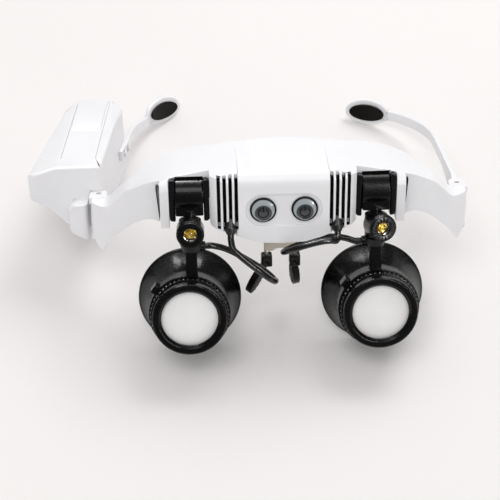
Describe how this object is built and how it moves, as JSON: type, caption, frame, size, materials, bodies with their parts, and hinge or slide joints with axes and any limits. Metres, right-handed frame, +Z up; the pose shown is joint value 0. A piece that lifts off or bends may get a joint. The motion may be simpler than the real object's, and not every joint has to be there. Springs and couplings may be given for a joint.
{
  "type": "lighted headband magnifier",
  "caption": "White spectacle-type head magnifier with flip-up black loupes, a swivelling lamp over each loupe, push buttons, a nose rest, folding temples and a battery case on one temple.",
  "frame": {"origin": "middle of the plan, on the surface that it lies on, resting on both eyecups and the tip of the right temple", "axes": "+X to the wearer's left, -Y to the front that the wearer looks through, +Z up; the frame is pitched back by the angle at which it lies"},
  "size_m": [0.1677, 0.1446, 0.0756],
  "materials": {
    "white_plastic": "smooth satin white",
    "black_plastic": "glossy black",
    "black_rubber": "semi-matte black",
    "pad_rubber": "matte dark brown-black",
    "button_grey": "glossy grey",
    "steel": "bright",
    "satin_steel": "satin",
    "board_green": "lacquered circuit board",
    "lamp_reflector": "bright",
    "led_clear": "clear epoxy",
    "led_phosphor": "yellow die",
    "lens_glass": "polished",
    "cell_jacket": "coated jacket, left plain"
  },
  "bodies": {
    "frame": {"frame_shell": "white_plastic", "rear_cover": "white_plastic", "cover_screws": "steel", "circuit_board": "board_green", "board_screws": "steel", "switch_bodies": "black_plastic", "button_bezels": "black_plastic", "wire_grommets": "black_rubber", "nose_bracket": "satin_steel", "nose_bracket_screws": "steel", "nose_clips": "black_plastic", "hinge_block_left": "black_plastic", "hinge_block_right": "black_plastic", "block_screws": "steel", "flip_pin_left": "steel", "flip_pin_right": "steel", "temple_pin_left": "steel", "temple_pin_right": "steel", "lamp_lead_left": "black_rubber", "lamp_lead_right": "black_rubber"},
    "button_left": {"button_cap_left": "button_grey"},
    "arm_left": {"arm_left": "black_plastic", "lens_latch_left": "black_plastic"},
    "lamp_left": {"lamp_shell_left": "black_plastic", "lamp_bezel_left": "black_plastic", "led_holder_left": "lamp_reflector", "led_left": "led_clear", "led_chip_left": "led_phosphor"},
    "loupe_left": {"lens_barrel_left": "black_plastic", "front_ring_left": "black_plastic", "front_lens_left": "lens_glass", "rear_lens_left": "lens_glass", "eyecup_left": "black_plastic"},
    "nose_pad_left": {"nose_pad_left": "pad_rubber"},
    "button_right": {"button_cap_right": "button_grey"},
    "arm_right": {"arm_right": "black_plastic", "lens_latch_right": "black_plastic"},
    "lamp_right": {"lamp_shell_right": "black_plastic", "lamp_bezel_right": "black_plastic", "led_holder_right": "lamp_reflector", "led_right": "led_clear", "led_chip_right": "led_phosphor"},
    "loupe_right": {"lens_barrel_right": "black_plastic", "front_ring_right": "black_plastic", "front_lens_right": "lens_glass", "rear_lens_right": "lens_glass", "eyecup_right": "black_plastic"},
    "nose_pad_right": {"nose_pad_right": "pad_rubber"},
    "temple_left": {"temple_left": "white_plastic", "temple_pad_left": "black_rubber"},
    "temple_right": {"temple_right": "white_plastic", "temple_rivets": "white_plastic", "temple_pad_right": "black_rubber", "battery_case": "white_plastic", "battery_cells": "cell_jacket", "battery_springs": "steel", "battery_contacts": "steel"},
    "battery_door": {"battery_door": "white_plastic"}
  },
  "joints": [
    {"name": "arm_left_flip", "type": "hinge", "parent": "frame", "child": "arm_left", "pos_m": [0.04565, -0.02821, 0.0607], "axis": [-1, 0, 0], "range_deg": [-9, 92], "deforming": ["lamp_lead_left"]},
    {"name": "lamp_left_swivel", "type": "hinge", "parent": "arm_left", "child": "lamp_left", "pos_m": [0.04565, -0.03933, 0.054], "axis": [0, 0.5784, 0.8157], "range_deg": [-42, 18]},
    {"name": "loupe_left_twist", "type": "hinge", "parent": "arm_left", "child": "loupe_left", "pos_m": [0.04705, -0.05964, 0.02795], "axis": [0, 0.8157, -0.5784], "range_deg": [0, 30]},
    {"name": "button_left_press", "type": "slide", "parent": "frame", "child": "button_left", "axis": [0, 0.9, -0.4359], "range_m": [0, 0.0006], "stiffness_N_per_m": 2500, "springref_m": -0.0004},
    {"name": "nose_pad_left_rock", "type": "hinge", "parent": "frame", "child": "nose_pad_left", "pos_m": [0.01705, -0.03544, 0.02765], "axis": [0, 0.9, -0.4359], "range_deg": [-10, 10]},
    {"name": "arm_right_flip", "type": "hinge", "parent": "frame", "child": "arm_right", "pos_m": [-0.02235, -0.02821, 0.0607], "axis": [-1, 0, 0], "range_deg": [-9, 92], "deforming": ["lamp_lead_right"]},
    {"name": "lamp_right_swivel", "type": "hinge", "parent": "arm_right", "child": "lamp_right", "pos_m": [-0.02235, -0.03933, 0.054], "axis": [0, 0.5784, 0.8157], "range_deg": [-30, 30]},
    {"name": "loupe_right_twist", "type": "hinge", "parent": "arm_right", "child": "loupe_right", "pos_m": [-0.02375, -0.05964, 0.02795], "axis": [0, 0.8157, -0.5784], "range_deg": [0, 30]},
    {"name": "button_right_press", "type": "slide", "parent": "frame", "child": "button_right", "axis": [0, 0.9, -0.4359], "range_m": [0, 0.0006], "stiffness_N_per_m": 2500, "springref_m": -0.0004},
    {"name": "nose_pad_right_rock", "type": "hinge", "parent": "frame", "child": "nose_pad_right", "pos_m": [0.00625, -0.03544, 0.02765], "axis": [0, 0.9, -0.4359], "range_deg": [-10, 10]},
    {"name": "temple_left_fold", "type": "hinge", "parent": "frame", "child": "temple_left", "pos_m": [0.08055, -0.01578, 0.04324], "axis": [0, 0.4359, 0.9], "range_deg": [0, 58]},
    {"name": "temple_right_fold", "type": "hinge", "parent": "frame", "child": "temple_right", "pos_m": [-0.05725, -0.01578, 0.04324], "axis": [0, 0.4359, 0.9], "range_deg": [-68, 0]},
    {"name": "battery_door_slide", "type": "slide", "parent": "temple_right", "child": "battery_door", "axis": [0.0608, 0.932, -0.3574], "range_m": [0, 0.045]}
  ]
}
